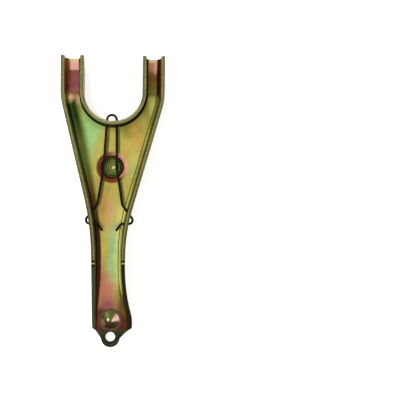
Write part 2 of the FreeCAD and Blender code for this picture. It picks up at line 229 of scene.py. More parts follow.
# %% Handling group
marks_tree, given, result = group(
    "handling_marks",
    [("Place", "Vector", None), ("Grain per mm", "Float", 1.0), ("Cloud per mm", "Float", 0.1),
     ("Stretch", "Vector", (1, 1, 1))],
    [("Grain", "Float"), ("Cloud", "Float"), ("Streak", "Float")])
NOISE_DETAIL, NOISE_ROUGHNESS = 3.0, 0.6
stretched = vector(marks_tree, "MULTIPLY", given["Place"], given["Stretch"])
MARKS = (
    # output, where it is looked up, scale
    ("Grain", given["Place"], "Grain per mm"),
    ("Cloud", given["Place"], "Cloud per mm"),
    ("Streak", stretched, "Grain per mm"),
)
for label, spot, scale in MARKS:
    noise = add(marks_tree, "ShaderNodeTexNoise", {
        "Vector": spot, "Scale": given[scale], "Detail": NOISE_DETAIL, "Roughness": NOISE_ROUGHNESS})
    marks_tree.links.new(noise.outputs["Fac"], result[label])
print("handling_marks has", len(marks_tree.nodes), "nodes")

# %% [markdown]
# ## Where things are on the fork
# The material has to know the web from the flanges and the open side from the closed one. The
# surface's own direction and the distances to the walls tell that at any point, so no painted mask
# is needed. Places are in millimetres from the centre of the pivot ball, as on the drawing. A slow
# noise moves the rims of the patches a few millimetres to and fro, so that none is a plain ellipse.

# %% Start the zinc material
WANDER_PER_MM, WANDER_DETAIL = 0.06, 1.5
WANDER_MM = (5.0, 14.0, 0.0)
NOISE_MIDDLE = (0.5, 0.5, 0.5)
zinc = bpy.data.materials.new("yellow_passivated_zinc")
zinc.use_nodes = True
tree = zinc.node_tree
tree.nodes.clear()
where = add(tree, "ShaderNodeTexCoord").outputs
to_mm = vector(tree, "SCALE", where["Object"], Scale=1 / MM)
coords = add(tree, "ShaderNodeSeparateXYZ", {0: to_mm}).outputs
facing = add(tree, "ShaderNodeSeparateXYZ", {0: where["Normal"]}).outputs
wander_noise = add(tree, "ShaderNodeTexNoise", {
    "Vector": to_mm, "Scale": WANDER_PER_MM, "Detail": WANDER_DETAIL})
wander = vector(tree, "SUBTRACT", wander_noise.outputs["Color"], NOISE_MIDDLE)
place = vector(tree, "ADD", to_mm, vector(tree, "MULTIPLY", wander, WANDER_MM))
open_side = ramp(tree, facing["Z"], 0.1, 0.45)
closed_side = ramp(tree, facing["Z"], -0.1, -0.5)
print("zinc starts with", len(tree.nodes), "nodes")

# %% [markdown]
# ## How far the walls are
# Each outer side of the lever is made of straight runs and large bends. Three bends, the straight
# sides of the tines and the tail, and the round gap between the tines give the distance to the
# nearest wall at any point of the web.


# %% Distances to the walls
def bend_of_wall(start, corner, end, radius, outward):
    """Distance to a wall that runs from start to end and turns outwards at a corner."""
    start, corner, end = (Vector((*point, 0)) for point in (start, corner, end))
    arriving = (corner - start).normalized()
    leaving = (end - corner).normalized()
    setback = radius * math.tan(arriving.angle(leaving) / 2)
    centre = corner - arriving * setback + Vector((outward, 0, 0)) * radius
    return use(tree, wall_tree, {
        "Place": to_mm, "Centre": centre, "First run": -arriving, "Second run": leaving,
        "Radius": radius})["Distance"]


NECK_LEFT, NECK_RIGHT = -16.3, 11.75
TINE_LEFT, TINE_RIGHT = -41.95, 42.95
TAIL_RIGHT = 18.3
TAIL_FROM, TAIL_TO = -127.0, -122.0
FAR_OFF = 99.0
BENDS = (
    # start, corner, end, radius, way out: -1 to the left and 1 to the right
    ((NECK_LEFT, -150), (NECK_LEFT, -49.1), (TINE_LEFT, 57), 230, -1),
    ((NECK_RIGHT, -100), (NECK_RIGHT, -53.5), (TINE_RIGHT, 55.1), 150, 1),
    ((NECK_RIGHT, -60), (NECK_RIGHT, -103.3), (TAIL_RIGHT, -130.2), 170, 1),
)
GAP = {"Centre": (0.85, 62.7, 0), "First run": (0, 1, 0), "Radius": 24.2}
neck_left, neck_right, flare = [bend_of_wall(*bend) for bend in BENDS]
left = calc(tree, "MINIMUM", neck_left, calc(tree, "SUBTRACT", coords["X"], TINE_LEFT))
right = calc(tree, "MAXIMUM", neck_right, flare)
right = calc(tree, "MINIMUM", right, calc(tree, "SUBTRACT", TINE_RIGHT, coords["X"]))
above_tail = ramp(tree, coords["Y"], TAIL_FROM, TAIL_TO, 0.0, FAR_OFF)
tail_side = calc(tree, "ADD", calc(tree, "SUBTRACT", TAIL_RIGHT, coords["X"]), above_tail)
right = calc(tree, "MINIMUM", right, tail_side)
gap = use(tree, wall_tree, {"Place": to_mm, **GAP})["Distance"]
WALLS = {"left": left, "right": right, "gap": gap}
nearest = calc(tree, "MINIMUM", calc(tree, "MINIMUM", left, right), gap)
print(len(WALLS), "walls measured")

# %% [markdown]
# ## Colours of the open side
# Each line below is one patch of film: its middle, half width and half length in millimetres, how far it
# is turned, how soft its rim is, how strong it is and its colour. Later patches lie over earlier ones, as
# coats do. Greens and pinks are the thicker film, olive and gold the thinner. Some patches are painted
# light: the purple and cherry ones at the tail are painted shade, the three on the right tine are film
# with the painted light and shade of its facets, and the apricot one is a painted highlight on the step
# at the foot of the left tine.

# %% Palette of the film
GOLD = linear(196, 184, 90)
TEAL = linear(158, 206, 128)
LIME = linear(212, 214, 112)
OCHRE = linear(150, 136, 68)
ORANGE = linear(208, 164, 78)
COPPER = linear(196, 128, 66)
RUST = linear(196, 132, 100)
SALMON = linear(212, 158, 106)
PINK = linear(250, 184, 176)
ROSE = linear(190, 118, 94)
CRIMSON = linear(150, 80, 86)
MAUVE = linear(146, 84, 84)
PURPLE = linear(92, 38, 32)
OLIVE = linear(98, 104, 36)
BROWN = linear(100, 70, 26)
UMBER = linear(62, 40, 12)
MAROON = linear(62, 28, 10)
MOSS = linear(34, 58, 14)
# black-green draws lines of painted shade, and cream draws painted highlights
BLACK_GREEN_SHADE = linear(24, 28, 10)
CREAM_HIGHLIGHT = linear(226, 214, 160)
BLUE_GREEN = linear(150, 200, 150)
PALE_LIME = linear(236, 232, 136)
SPRING = linear(206, 224, 136)
# olive-gold draws a strip of painted highlight
OLIVE_GOLD_HIGHLIGHT = linear(150, 150, 66)
FERN = linear(84, 108, 54)
APRICOT_HIGHLIGHT = linear(255, 212, 154)
SADDLE = linear(112, 70, 28)
CHERRY = linear(84, 42, 28)
print("gold is", [round(v, 3) for v in GOLD[:3]], "in linear light")

# %% Film patches of the open side
OPEN_PATCHES = (
    # x, y, half width, half length, turn in degrees, rim, strength, colour
    (-21, 26, 8, 30, 14, 0.8, 0.95, TEAL),
    (-12, 46, 14, 12, 0, 0.7, 0.6, TEAL),
    (16, 34, 9, 8, -30, 0.8, 0.7, OLIVE),
    (21, 26, 5, 20, -16, 0.8, 0.7, ORANGE),
    (12, 12, 6, 12, 0, 0.9, 0.4, ORANGE),
    (31, 50, 7, 12, -10, 0.7, 0.5, OLIVE),
    (35, 46, 3, 16, -16, 0.8, 0.7, LIME),
    (22, 0, 4, 14, -16, 0.8, 0.6, LIME),
    (19, -4, 2, 8, -16, 0.9, 0.5, BLUE_GREEN),
    (-7, -20, 6, 14, 6, 0.8, 0.35, OCHRE),
    (-2, -38, 6, 11, 0, 0.9, 0.8, SALMON),
    (-8, -32, 3, 12, 8, 0.9, 0.6, COPPER),
    (6, -62, 5, 26, 0, 0.7, 1.0, LIME),
    (8, -60, 3, 22, 0, 0.8, 0.8, PALE_LIME),
    (0.5, -76, 2.6, 26, 0, 0.9, 0.85, BLUE_GREEN),
    (5.5, -78, 3, 22, 0, 0.8, 0.8, SPRING),
    (-8, -98, 5, 14, 0, 0.8, 0.9, ROSE),
    (-4, -112, 8, 14, 0, 0.6, 0.95, ROSE),
    (-2, -122, 9, 9, 0, 0.6, 0.9, MAUVE),
    (6, -113, 3.5, 13, 12, 0.8, 0.7, OCHRE),
    (10, -118, 4, 18, 14, 0.8, 0.95, BROWN),
    # darker tail: painted shade
    (-11, -140, 10, 17, 0, 0.3, 1.0, PURPLE),
    (11, -138, 8, 12, 0, 0.4, 1.0, CHERRY),
    # the right tine's facets: film colour with their painted light and shade
    (34, 88, 13, 8, 0, 0.4, 0.9, RUST),
    (34, 75, 13, 8, 0, 0.6, 0.95, SADDLE),
    (34, 65, 13, 6, 0, 0.6, 0.8, OLIVE),
    # a painted highlight on the step at the foot of the left tine
    (-29, 61, 11, 6.5, 0, 0.35, 1.0, APRICOT_HIGHLIGHT),
    (-33, 66, 12, 4, 0, 0.4, 0.9, CRIMSON),
)
ANY_HEIGHT = 1000.0


def patch_mask(spot, middle, half_size, turn, rim):
    """Mask of one patch. Middle and half size are in millimetres, the turn is in radians."""
    return use(tree, patch_tree, {
        "Place": spot, "Centre": (*middle, 0), "Turn": turn, "Half size": (*half_size, ANY_HEIGHT),
        "Rim": rim})["Mask"]


def lay(colour, *layers):
    """Lays pairs of a mask and a film over a colour, one after the other."""
    for mask, film in layers:
        colour = mix(tree, mask, colour, film)
    return colour


def lay_patches(colour, patches):
    """Lays patches of film and of painted light over a colour, one after the other."""
    for x, y, half_width, half_length, turn, rim, strength, film in patches:
        mask = patch_mask(place, (x, y), (half_width, half_length), math.radians(turn), rim)
        colour = lay(colour, (both(tree, mask, strength), film))
    return colour


web_colour = lay_patches(GOLD, OPEN_PATCHES)
print(len(OPEN_PATCHES), "patches on the open side")

# %% [markdown]
# ## Bands along the walls
# Dark lines of painted shade run along the walls, deep in the bends. On the right a thin painted dark
# line and a strip of painted highlight mark the start of the bend. The tines' floors change colour in
# steps at their facets, as painted light and shade, with a painted highlight on the curled lips. A band's
# place is its distance from the outside of the wall: the sheared top takes the first 3 mm. A band that
# ends at 99 mm runs past the tips.

# %% Film bands of the open side
OPEN_BANDS = (
    # wall, from, to, softness across, start, end, softness along, strength, colour
    # the tines' floors and lips: painted light and shade of the facets, and a painted highlight on the
    # lips
    ("left", 3.4, 13.6, 0.8, 67.0, 82.4, 1.6, 0.97, CRIMSON),
    ("left", 5.0, 13.6, 1.2, 82.4, 99.0, 0.5, 0.97, PINK),
    ("left", 5.0, 13.6, 1.2, 88.4, 99.0, 1.2, 0.95, CREAM_HIGHLIGHT),
    ("right", 5.0, 14.0, 1.2, 88.8, 99.0, 1.2, 0.95, CREAM_HIGHLIGHT),
    ("right", 5.0, 8.0, 1.5, 80.0, 90.0, 3.0, 0.7, PINK),
    # along the gap and the left tine's bend: painted light and shade of the bends, mostly dark lines
    ("gap", 3.0, 8.0, 3.0, 26.0, 66.0, 6.0, 0.35, OLIVE),
    ("left", 3.0, 5.0, 0.6, 74.0, 99.0, 8.0, 0.95, COPPER),
    ("left", 4.9, 5.8, 0.4, 76.0, 99.0, 6.0, 0.85, UMBER),
    ("gap", 2.0, 5.0, 0.5, 66.0, 99.0, 4.0, 0.95, MAROON),
    ("gap", 2.0, 4.9, 0.4, 20.0, 70.0, 5.0, 0.97, BLACK_GREEN_SHADE),
    # along the right wall: olive-gold and lime strips of painted highlight on the bend, and dark lines of
    # painted shade beside them
    ("right", 3.0, 5.6, 0.3, -20.0, 62.0, 16.0, 0.9, OLIVE_GOLD_HIGHLIGHT),
    ("right", 3.0, 7.0, 1.5, -136.0, -108.0, 8.0, 0.6, BROWN),
    ("right", 3.0, 5.6, 0.3, -104.0, -20.0, 10.0, 0.95, LIME),
    ("right", 5.6, 6.3, 0.2, -112.0, 62.0, 4.0, 0.95, BLACK_GREEN_SHADE),
    ("right", 2.0, 3.5, 0.2, -112.0, 62.0, 4.0, 0.9, UMBER),
    ("right", 2.0, 5.6, 0.4, 60.0, 99.0, 4.0, 0.95, MAROON),
    ("right", 2.0, 5.2, 0.8, -150.0, -116.0, 6.0, 0.95, UMBER),
)


def lay_bands(colour, bands):
    """Lays bands along the walls over a colour, one after the other."""
    for wall, low, high, soft, start, end, soft_along, strength, film in bands:
        mask = use(tree, band_tree, {
            "Across": WALLS[wall], "From": low, "To": high, "Soft across": soft,
            "Along": coords["Y"], "Start": start, "End": end, "Soft along": soft_along})["Mask"]
        colour = lay(colour, (both(tree, mask, strength), film))
    return colour


web_colour = lay_bands(web_colour, OPEN_BANDS)
print(len(OPEN_BANDS), "bands on the open side")

# %% [markdown]
# ## Under the wire
# Beside each leg of the clip the web has a narrow dark strip of painted shadow, the shadow of the wire.
# Each strip is one long patch, turned to lie along its leg.

# %% Painted shadow beside the clip's legs
LEGS = (
    # upper end, lower end of each straight part of the legs
    ((-4.2, 36.0), (-6.9, 0.0)),
    ((-6.9, 0.0), (-12.0, -31.5)),
    ((3.8, 36.0), (4.2, 0.0)),
    ((4.2, 0.0), (9.0, -31.5)),
)
# colour of the painted shadow beside the wire
WIRE_SHADOW = linear(104, 96, 34)
STRIP_ASIDE, STRIP_HALF, STRIP_PAST_ENDS = 1.7, 1.0, 2.0
STRIP_RIM, STRIP_STRENGTH = 0.5, 0.8
for (x1, y1), (x2, y2) in LEGS:
    middle = ((x1 + x2) / 2 + STRIP_ASIDE, (y1 + y2) / 2)
    half_length = math.hypot(x1 - x2, y1 - y2) / 2 + STRIP_PAST_ENDS
    turn = math.atan2(x1 - x2, y1 - y2)
    shadow_strip = patch_mask(to_mm, middle, (STRIP_HALF, half_length), turn, STRIP_RIM)
    web_colour = lay(web_colour, (both(tree, shadow_strip, STRIP_STRENGTH), WIRE_SHADOW))
print(len(LEGS), "strips beside the legs")

# %% [markdown]
# ## The dark stripe on the left
# One stripe of painted shade runs down the whole left wall: the bend there is painted dark, with the
# painted reflection of the wall in it. It narrows towards the tail and changes from moss green through
# olive and brown to maroon, so its width and its colour both follow the height along the lever: smooth
# steps give its rim and its softness, and a Color Ramp gives its colour. A fern green line and a black
# one of painted shade lie over it, at the foot of the wall.

# %% Painted shade along the left wall
# colours of the painted shade and reflection in the left bend
STRIPE = (
    # height along the lever, colour there
    (-100.0, MAROON),
    (-72.0, UMBER),
    (-50.0, UMBER),
    (-22.0, BROWN),
    (4.0, OLIVE),
    (22.0, OLIVE),
    (42.0, MOSS),
)
# Each step goes from one height to another, and from one width in mm to another.
RIM_BY_TAIL = (-152.0, -84.0, 3.6, 7.3)
RIM_BY_TINES = (-60.0, 40.0, 0.0, 4.2)
STRIPE_SOFTNESS = (-80.0, 30.0, 0.7, 3.4)
STRIPE_STOPS = (54.0, 46.0)
stripe_low, stripe_high = STRIPE[0][0], STRIPE[-1][0]
stripe_place = add(tree, "ShaderNodeMapRange", {0: coords["Y"], 1: stripe_low, 2: stripe_high}).outputs[0]
stripe = add(tree, "ShaderNodeValToRGB", {"Fac": stripe_place})
stops = stripe.color_ramp.elements
while len(stops) < len(STRIPE):
    stops.new(0.5)
for stop, (y, film) in zip(stops, STRIPE):
    stop.position = (y - stripe_low) / (stripe_high - stripe_low)
    stop.color = film
left_shade_colour = stripe.outputs["Color"]
stripe_rim = calc(tree, "ADD", ramp(tree, coords["Y"], *RIM_BY_TAIL),
                  ramp(tree, coords["Y"], *RIM_BY_TINES))
stripe_soft = ramp(tree, coords["Y"], *STRIPE_SOFTNESS)
stripe_mask = ramp(tree, left, calc(tree, "SUBTRACT", stripe_rim, stripe_soft),
                   calc(tree, "ADD", stripe_rim, stripe_soft), 1.0, 0.0)
stripe_end = ramp(tree, calc(tree, "SUBTRACT", coords["Y"], left), *STRIPE_STOPS)
web_colour = lay(web_colour, (both(tree, stripe_mask, stripe_end), left_shade_colour))
# lines of painted shade at the foot of the left wall
LEFT_SHADE_LINES = (
    # wall, from, to, softness across, start, end, softness along, strength, colour
    ("left", 3.8, 6.0, 1.0, -10.0, 54.0, 8.0, 0.6, FERN),
    ("left", 3.2, 3.9, 0.2, -60.0, 60.0, 8.0, 0.7, BLACK_GREEN_SHADE),
)
web_colour = lay_bands(web_colour, LEFT_SHADE_LINES)
print("stripe has", len(stops), "colours")

# %% [markdown]
# ## The pivot ball's socket
# The socket is round, so rings about its axis colour it: the distance from the axis picks the colour. Its
# rim is painted light: a painted highlight on the right, painted shade on the left and towards the tail,
# and a ring of painted shade inside it. The punch leaves fine turned rings in the seat, which a sine of
# the distance gives, and a painted highlight sits near its middle.


# %% Rings round the pivot
def distance_from(x, y):
    """Distance in millimetres from an upright axis."""
    flat = vector(tree, "MULTIPLY", vector(tree, "SUBTRACT", to_mm, (x, y, 0)), FLATTEN)
    return vector(tree, "LENGTH", flat, output="Value")


def ring(distance, low, high, soft):
    """Mask that is 1 between two distances from an axis."""
    rise = ramp(tree, distance, low - soft, low + soft)
    fall = ramp(tree, distance, high - soft, high + soft, 1.0, 0.0)
    return both(tree, rise, fall)


# painted light of the rim: shade, a highlight on the right, darker shade towards the tail, and a ring of
# shade inside
RIM_SHADE, RIM_HIGHLIGHT, RIM_LOW_SHADE = linear(118, 62, 40), linear(226, 168, 134), linear(120, 60, 30)
RIM_INNER_SHADE = linear(76, 44, 22)
SEAT_MIDDLE, SEAT_EDGE = linear(80, 94, 28), linear(32, 74, 16)
# the seat's turned rings, and a painted highlight near its middle
SEAT_RING, SEAT_HIGHLIGHT = linear(170, 172, 84), linear(244, 236, 160)
# from, to and softness of the rim's two rings, in mm from the axis
OUTER_RING = (9.5, 13.4, 0.9)
INNER_RING = (7.9, 10.3, 0.7)
# radians of the rings' wave for each mm
TURNED_RINGS = 3.3
from_pivot = distance_from(0, 0)
rim_colour = lay(
    RIM_SHADE,
    (ramp(tree, coords["X"], -6.0, 8.0), RIM_HIGHLIGHT),
    (ramp(tree, coords["Y"], -3.0, -11.0), RIM_LOW_SHADE))
wave = calc(tree, "SINE", calc(tree, "MULTIPLY", from_pivot, TURNED_RINGS))
seat_colour = lay(
    SEAT_MIDDLE,
    (ramp(tree, from_pivot, 1.0, 8.0), SEAT_EDGE),
    (ramp(tree, wave, 0.0, 0.8, 0.0, 0.8), SEAT_RING),
    (ramp(tree, distance_from(1.0, -0.3), 2.0, 0.5), SEAT_HIGHLIGHT))
web_colour = lay(
    web_colour,
    (ring(from_pivot, *OUTER_RING), rim_colour),
    (ring(from_pivot, *INNER_RING), RIM_INNER_SHADE),
    (ramp(tree, from_pivot, 7.4, 8.4, 1.0, 0.0), seat_colour))
print("a turned ring every", round(math.tau / TURNED_RINGS, 1), "mm")

# %% [markdown]
# ## The push rod's cup
# The push rod's cup is pressed from the closed side, so on the open side it is a dome. A polished dome
# mirrors the room in wedges, and here they are painted reflections, which the direction of its surface
# places: a pale one to the right, a faint one to the left, a dark one of painted shade towards the tail,
# and a painted highlight near its top. The side facing the tines is painted as lit.

# %% Wedges of the dome
CUP = (-0.8, -132.6)
# the dome's painted light: a lit side, shade below, reflections and a highlight
DOME_SIDE, DOME_TOP_LIT, DOME_LOW_SHADE = linear(84, 70, 34), linear(92, 100, 44), linear(52, 42, 18)
DOME_RIGHT_REFLECTION, DOME_LEFT_REFLECTION = linear(222, 186, 164), linear(206, 160, 138)
DOME_HIGHLIGHT, DOME_RIM = linear(244, 240, 220), linear(108, 66, 56)
DOME_RING = (8.6, 10.2, 0.4)
from_cup = distance_from(*CUP)
right_reflection_wedge = both(
    tree, ramp(tree, facing["X"], 0.22, 0.42), ramp(tree, facing["Y"], 0.5, 0.3),
    ramp(tree, facing["Y"], -0.15, 0.0))
left_reflection_wedge = both(
    tree, ramp(tree, facing["X"], -0.34, -0.46), ramp(tree, facing["Y"], 0.2, 0.0),
    ramp(tree, from_cup, 4.0, 6.5, 0.0, 0.35))
dome_colour = lay(
    DOME_SIDE,
    (ramp(tree, facing["Y"], 0.1, 0.4), DOME_TOP_LIT),
    (right_reflection_wedge, DOME_RIGHT_REFLECTION),
    (ramp(tree, facing["Y"], -0.15, -0.45), DOME_LOW_SHADE),
    (left_reflection_wedge, DOME_LEFT_REFLECTION),
    (ramp(tree, distance_from(-2.4, -131.2), 1.5, 0.4), DOME_HIGHLIGHT))
web_colour = lay(
    web_colour,
    (ring(from_cup, *DOME_RING), DOME_RIM),
    (ramp(tree, from_cup, 8.3, 8.9, 1.0, 0.0), dome_colour))
print("web has", len(tree.nodes), "nodes")

# %% [markdown]
# ## Tops of the flanges
# The sheared tops of the flanges look grey-olive, because the film is thin there, with a line of painted
# shade along each edge and a painted highlight line beside it, and a painted cream highlight along the
# round gap. Past the nicks they are dark green. At the nicks two dashes of painted shade cross them, with
# a painted highlight between.

# %% Sheared tops
TOP_BY_TINES, TOP_BY_TAIL = linear(122, 122, 74), linear(88, 88, 42)
# a painted highlight line, random grain, and painted shade along both edges of the tops
TOP_HIGHLIGHT, TOP_GRAIN, EDGE_SHADE = linear(150, 150, 96), linear(66, 60, 26), linear(44, 42, 18)
PAST_NICK_LEFT, PAST_NICK_RIGHT = linear(66, 72, 42), linear(30, 34, 18)
# painted shade and a painted highlight across the nicks
NICK_SHADE, NICK_HIGHLIGHT = linear(18, 16, 6), linear(170, 168, 110)
# from, to and softness, in mm: across the flange first, then along the lever
HIGHLIGHT_LINE = (1.7, 2.5, 0.3)
GAP_HIGHLIGHT_LINE = (0.1, 1.1, 0.3)
SHADE_DASHES = ((-78.6, -76.4, 0.2), (-82.2, -80.4, 0.2))
HIGHLIGHT_DASH = (-80.0, -79.0, 0.2)
GAP_HIGHLIGHT_STRENGTH, EDGE_SHADE_STRENGTH = 0.8, 0.65
marks = use(tree, marks_tree, {
    "Place": to_mm, "Grain per mm": 1.1, "Cloud per mm": 0.12, "Stretch": (1.0, 0.06, 1.0)})
gap_highlight = both(tree, ring(gap, *GAP_HIGHLIGHT_LINE), ramp(tree, coords["Y"], 56.0, 46.0), GAP_HIGHLIGHT_STRENGTH)
past_nick = lay(PAST_NICK_LEFT, (ramp(tree, coords["X"], -1.0, 1.0), PAST_NICK_RIGHT))
edge_shade_mask = calc(tree, "MAXIMUM", ramp(tree, nearest, 0.55, 0.25), ramp(tree, nearest, 2.75, 2.9))
top_colour = lay(
    TOP_BY_TINES,
    (ramp(tree, coords["Y"], 30.0, -70.0), TOP_BY_TAIL),
    (ring(nearest, *HIGHLIGHT_LINE), TOP_HIGHLIGHT),
    (gap_highlight, CREAM_HIGHLIGHT),
    (ramp(tree, marks["Grain"], 0.42, 0.62, 0.0, 0.6), TOP_GRAIN),
    (ramp(tree, coords["Y"], -79.6, -80.6), past_nick),
    (both(tree, edge_shade_mask, EDGE_SHADE_STRENGTH), EDGE_SHADE))
for dash in SHADE_DASHES:
    top_colour = lay(top_colour, (ring(coords["Y"], *dash), NICK_SHADE))
top_colour = lay(top_colour, (ring(coords["Y"], *HIGHLIGHT_DASH), NICK_HIGHLIGHT))
print("flange tops have", len(SHADE_DASHES), "dark dashes")

# %% [markdown]
# ## Inner walls and lug
# The inside of the deep channel is painted as shade, with the painted reflection of its other wall, so it
# is darker than the web, and red-brown by the tines. The lug at the tail is painted dark grey-green as
# shade, almost black round its edges.

# %% Walls, lug and the whole open side
# painted shade of the inner walls; the left one is the stripe's painted shade, lightened
RIGHT_WALL_SHADE, LEFT_WALL, TINE_WALL = linear(92, 74, 34), linear(150, 156, 100), linear(150, 84, 38)
# the lug, painted dark as shade, with deeper painted shade round its edges
LUG_LIGHT, LUG_DARK, LUG_EDGE_SHADE = linear(64, 64, 42), linear(42, 40, 24), linear(18, 18, 8)
LUG = (-0.5, -147.7)
LEFT_WALL_STRENGTH = 0.45
left_wall = mix(tree, LEFT_WALL_STRENGTH, left_shade_colour, LEFT_WALL)
wall_shade_colour = lay(
    RIGHT_WALL_SHADE,
    (ramp(tree, coords["X"], 1.0, -1.0), left_wall),
    (ramp(tree, coords["Y"], 52.0, 66.0), TINE_WALL))
from_lug = distance_from(*LUG)
lug_outside = both(tree, ramp(tree, from_lug, 7.2, 7.7), ramp(tree, coords["Y"], -146.0, -147.5))
lug_edge_shade = calc(tree, "MAXIMUM", ramp(tree, from_lug, 5.2, 4.6), lug_outside)
lug_shade_colour = lay(
    LUG_LIGHT,
    (ramp(tree, marks["Cloud"], 0.35, 0.65), LUG_DARK),
    (lug_edge_shade, LUG_EDGE_SHADE))
on_lug = ramp(tree, coords["Y"], -140.2, -142.6)
on_flange = both(tree, ramp(tree, nearest, 3.05, 2.95), ramp(tree, coords["Y"], -139.6, -139.2))
open_colour = lay(web_colour, (on_lug, lug_shade_colour), (on_flange, top_colour))
print("open side has", len(tree.nodes), "nodes")

# %% [markdown]
# ## Colours of the closed side
# The closed side faced the other way in the bath: its film is rosy, with orange and sage streaks along
# the lever, and green round the gap and on the tines. The rubbed pads are grey-green, with a painted pale
# glint above them, and pale lines of painted highlight run along the bends of the walls and the gap. The
# same patches and bands colour it.

# %% Film of the closed side
ROSY = linear(184, 122, 120)
WINE = linear(122, 68, 62)
LEAF = linear(120, 128, 64)
PAD_DARK, PAD_LIGHT = linear(62, 76, 36), linear(158, 168, 132)
AMBER = linear(196, 138, 72)
SAGE = linear(140, 140, 112)
TERRACOTTA = linear(204, 124, 90)
BLUSH = linear(206, 150, 126)
LEFT_TIP, RIGHT_TIP = linear(104, 64, 40), linear(120, 70, 54)
# painted highlights above the pads
LEFT_GLINT, RIGHT_GLINT = linear(214, 216, 168), linear(226, 220, 184)
OLIVE_EDGE, BROWN_EDGE, GAP_EDGE = linear(70, 70, 34), linear(86, 62, 36), linear(80, 74, 34)
# painted highlights on the outer bends
LEFT_BEND_HIGHLIGHT, RIGHT_BEND_HIGHLIGHT = linear(186, 200, 140), linear(240, 208, 176)
CLOSED_PATCHES = (
    # x, y, half width, half length, turn in degrees, rim, strength, colour
    (0, 38, 44, 9, 0, 0.8, 0.85, WINE),
    (0, 40, 14, 6, 0, 0.8, 0.7, LEAF),
    (24, 26, 9, 10, 0, 0.8, 0.8, AMBER),
    (0, 14, 12, 6, 0, 0.9, 0.5, OCHRE),
    (12, -4, 3, 24, -10, 0.9, 0.5, MAUVE),
    (-9, -40, 3, 26, 0, 0.9, 0.6, SAGE),
    (6, -36, 4, 16, -8, 0.9, 0.7, ORANGE),
    (5, -84, 3.5, 34, 0, 0.9, 0.7, TERRACOTTA),
    (-2, -70, 1.5, 30, 0, 0.9, 0.5, BLUSH),
    (0, -112, 14, 22, 0, 0.8, 0.8, WINE),
    (4, -108, 3, 14, 0, 0.9, 0.6, COPPER),
    (-32, 68, 14, 16, 0, 0.4, 0.95, LEAF),
    (34, 68, 14, 16, 0, 0.4, 0.95, LEAF),
    (-32, 88, 14, 6, 0, 0.6, 0.9, LEFT_TIP),
    (34, 88, 14, 6, 0, 0.6, 0.9, RIGHT_TIP),
    # painted highlights above the pads
    (-32.6, 79, 3.4, 9, 0, 0.7, 0.95, LEFT_GLINT),
    (34, 79, 3.4, 9, 0, 0.7, 0.95, RIGHT_GLINT),
    (-32.6, 65, 5.2, 6.5, 0, 0.3, 0.85, PAD_DARK),
    (34, 65, 5.2, 6.5, 0, 0.3, 0.6, PAD_DARK),
    (-32.6, 66, 3.8, 5.5, 0, 0.35, 0.85, PAD_LIGHT),
    (34, 66, 3.8, 5.5, 0, 0.35, 0.9, PAD_LIGHT),
)
CLOSED_BANDS = (
    # wall, from, to, softness across, start, end, softness along, strength, colour
    ("gap", -1.0, 5.0, 1.5, 26.0, 99.0, 6.0, 0.9, LEAF),
    # a painted highlight along the gap
    ("gap", 2.0, 3.4, 0.5, 26.0, 60.0, 6.0, 0.6, CREAM_HIGHLIGHT),
    ("left", -1.0, 5.0, 1.5, -150.0, 99.0, 6.0, 0.9, LEAF),
    ("left", -1.0, 2.2, 1.0, -150.0, 99.0, 6.0, 0.9, OLIVE_EDGE),
    # pale lines on the bends: painted highlight
    ("left", 3.4, 5.0, 0.5, -139.0, 55.0, 6.0, 0.8, LEFT_BEND_HIGHLIGHT),
    ("right", -1.0, 3.4, 1.0, -150.0, 99.0, 6.0, 0.95, BROWN_EDGE),
    ("right", 3.6, 5.0, 0.5, -139.0, 55.0, 6.0, 0.9, RIGHT_BEND_HIGHLIGHT),
    ("gap", -1.0, 3.0, 1.5, 60.0, 99.0, 6.0, 0.8, GAP_EDGE),
)
closed_colour = lay_bands(lay_patches(ROSY, CLOSED_PATCHES), CLOSED_BANDS)
print(len(CLOSED_PATCHES), "patches and", len(CLOSED_BANDS), "bands on the closed side")

# %% [markdown]
# ## Bulge and hollow
# On the closed side the socket is a bulge and the push rod's cup is a hollow. The bulge's colour is
# painted light, as the dome's is: painted reflections of the room in wedges, a lit top, painted shade
# below and a painted highlight near its tip. The hollow is painted dark as shade, with a painted lit
# crescent towards the left wall and a painted highlight in its middle.

# %% Bulge and hollow of the closed side
# the bulge's painted light: a lit top, deep shade, a reflected glint and a highlight
BULGE_LOW, BULGE_TOP_LIT, BULGE_RIGHT = linear(70, 44, 26), linear(138, 138, 72), linear(122, 74, 54)
BULGE_SHADE, BULGE_GLINT = linear(26, 14, 8), linear(216, 166, 140)
BULGE_HIGHLIGHT, BULGE_CREASE = linear(226, 226, 150), linear(150, 126, 96)
# the hollow's painted light: shade, a lit crescent and a highlight
HOLLOW_SHADE, HOLLOW_RED = linear(40, 24, 16), linear(112, 54, 48)
HOLLOW_LIT_CRESCENT, HOLLOW_HIGHLIGHT = linear(172, 198, 120), linear(220, 150, 136)
CREASE_RING = (12.4, 14.2, 0.3)
CRESCENT_RING = (5.2, 9.2, 0.8)
SLANT = 0.4
slanted = calc(tree, "ADD", facing["Y"], calc(tree, "MULTIPLY", facing["X"], SLANT))
bulge_reflection_wedge = both(
    tree, ramp(tree, facing["X"], -0.05, -0.4), ramp(tree, facing["Y"], 0.34, 0.06),
    ramp(tree, facing["Y"], -0.22, 0.02))
bulge_colour = lay(
    BULGE_LOW,
    (ramp(tree, facing["Y"], -0.2, 0.4), BULGE_TOP_LIT),
    (ramp(tree, facing["X"], 0.0, 0.45), BULGE_RIGHT),
    (ramp(tree, slanted, 0.0, -0.42), BULGE_SHADE),
    (bulge_reflection_wedge, BULGE_GLINT),
    (ramp(tree, distance_from(0.6, 0.4), 4.0, 0.4), BULGE_HIGHLIGHT))
lit_crescent = both(tree, ring(from_cup, *CRESCENT_RING), ramp(tree, coords["X"], 0.0, -5.0))
